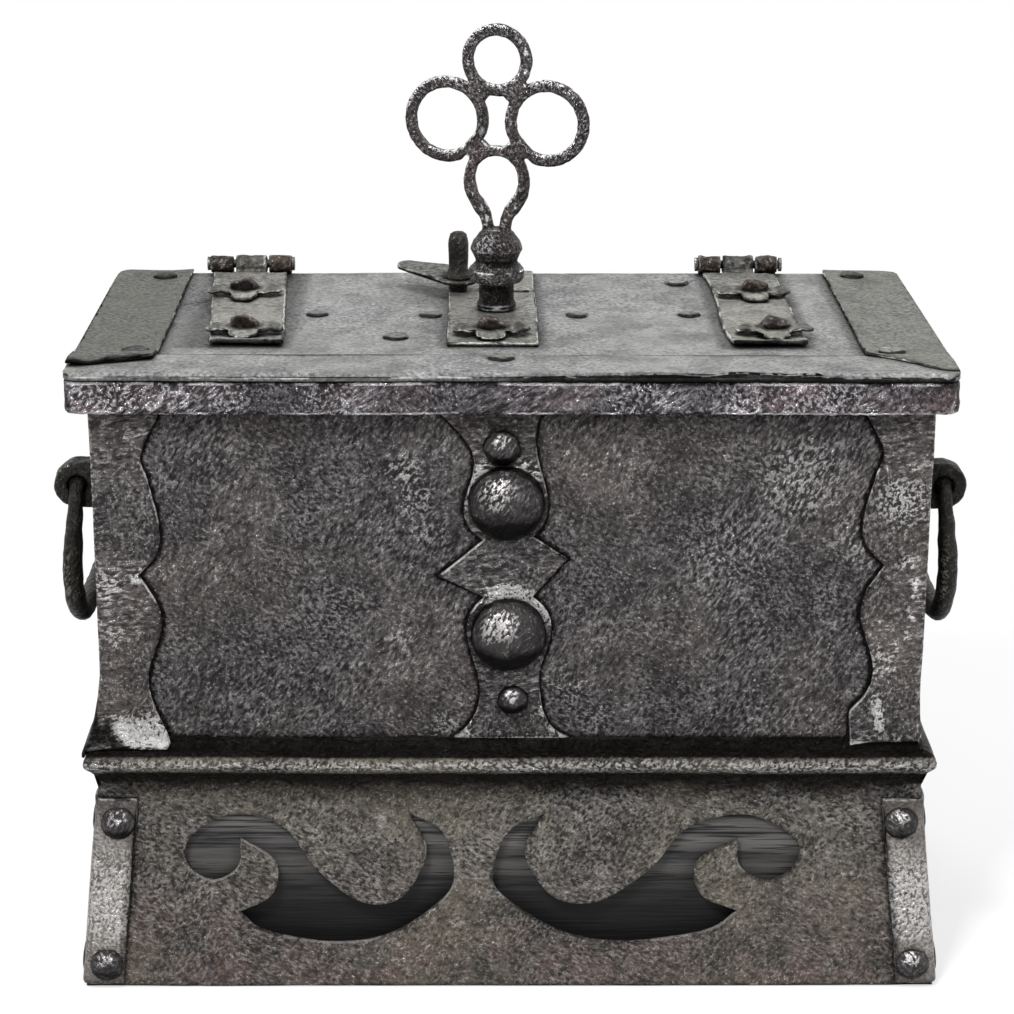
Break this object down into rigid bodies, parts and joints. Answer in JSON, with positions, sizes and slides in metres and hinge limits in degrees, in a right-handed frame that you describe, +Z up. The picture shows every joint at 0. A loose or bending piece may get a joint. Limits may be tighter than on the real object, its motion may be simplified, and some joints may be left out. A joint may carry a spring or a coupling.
{
  "type": "iron-bound offertory box",
  "caption": "Riveted iron offertory casket on a timber plinth with a pierced, flared skirt, lid lock with key, coin slot and drop handles.",
  "frame": {"origin": "centre of the footprint, on the surface that the box stands on", "axes": "+Z up, -Y out of the front with the scrolls, +X to the viewer's right"},
  "size_m": [0.3188, 0.1616, 0.3306],
  "materials": {
    "forged_iron": "hammered and pitted, dark oiled patina, worn bright on edges",
    "lid_iron": "dry, matt grey patina with fine speckle",
    "key_iron": "dark forged iron with rubbed edges",
    "old_oak": "blackened old timber with open grain"
  },
  "bodies": {
    "casket": {"plinth_deck": "old_oak", "plinth_front_board": "old_oak", "plinth_back_board": "old_oak", "plinth_left_board": "old_oak", "plinth_right_board": "old_oak", "front_plate": "forged_iron", "back_plate": "forged_iron", "left_plate": "forged_iron", "right_plate": "forged_iron", "floor_plate": "forged_iron", "front_left_corner_strap": "forged_iron", "front_right_corner_strap": "forged_iron", "back_left_corner_strap": "forged_iron", "back_right_corner_strap": "forged_iron", "front_strap": "forged_iron", "front_bosses": "forged_iron", "front_rivets": "forged_iron", "front_skirt": "forged_iron", "back_skirt": "forged_iron", "left_skirt": "forged_iron", "right_skirt": "forged_iron", "front_left_skirt_angle": "forged_iron", "front_right_skirt_angle": "forged_iron", "back_left_skirt_angle": "forged_iron", "back_right_skirt_angle": "forged_iron", "skirt_rivets": "forged_iron", "left_hinge_leaf": "forged_iron", "right_hinge_leaf": "forged_iron", "hinge_pins": "forged_iron", "leaf_rivets": "forged_iron", "bolt_strikes": "forged_iron", "left_handle_eyes": "forged_iron", "right_handle_eyes": "forged_iron"},
    "lid": {"lid_board": "old_oak", "rim_band": "forged_iron", "lid_sheet": "lid_iron", "left_end_plate": "lid_iron", "right_end_plate": "lid_iron", "front_edge_strip": "lid_iron", "left_hinge_strap": "lid_iron", "right_hinge_strap": "lid_iron", "lid_nails": "lid_iron", "lock_rivets": "lid_iron", "strap_rosettes": "forged_iron", "rosette_rivets": "forged_iron", "lock_strap": "lid_iron", "lock_plate": "forged_iron", "lock_bridge": "forged_iron", "bolt_guides": "forged_iron", "cover_post": "forged_iron"},
    "rotor": {"lock_rotor": "forged_iron"},
    "key": {"key": "key_iron"},
    "left_bolt": {"left_bolt": "forged_iron"},
    "right_bolt": {"right_bolt": "forged_iron"},
    "cover": {"slot_cover": "lid_iron", "cover_knob": "forged_iron"},
    "left_handle": {"left_handle": "forged_iron"},
    "right_handle": {"right_handle": "forged_iron"}
  },
  "joints": [
    {"name": "lid_hinge", "type": "hinge", "parent": "casket", "child": "lid", "pos_m": [0, 0.0732, 0.23], "axis": [-1, 0, 0], "range_deg": [0, 100]},
    {"name": "key_turn", "type": "hinge", "parent": "lid", "child": "rotor", "pos_m": [-0.005, 0.013, 0.208], "axis": [0, 0, 1], "range_deg": [0, 90]},
    {"name": "key_lift", "type": "slide", "parent": "rotor", "child": "key", "axis": [0, 0, 1], "range_m": [0, 0.03]},
    {"name": "left_bolt_slide", "type": "slide", "parent": "lid", "child": "left_bolt", "axis": [-1, 0, 0], "range_m": [0, 0.007]},
    {"name": "right_bolt_slide", "type": "slide", "parent": "lid", "child": "right_bolt", "axis": [1, 0, 0], "range_m": [0, 0.007]},
    {"name": "cover_swivel", "type": "hinge", "parent": "lid", "child": "cover", "pos_m": [-0.019, 0.0405, 0.231], "axis": [0, 0, 1], "range_deg": [-142, 60]},
    {"name": "left_handle_swing", "type": "hinge", "parent": "casket", "child": "left_handle", "pos_m": [-0.1512, 0, 0.1785], "axis": [0, 1, 0], "range_deg": [-6, 160]},
    {"name": "right_handle_swing", "type": "hinge", "parent": "casket", "child": "right_handle", "pos_m": [0.1512, 0, 0.1785], "axis": [0, -1, 0], "range_deg": [-6, 160]}
  ],
  "couplings": [
    {"joint": "left_bolt_slide", "follows": "key_turn", "m_per_rad": 0.0044563},
    {"joint": "right_bolt_slide", "follows": "key_turn", "m_per_rad": 0.0044563}
  ]
}
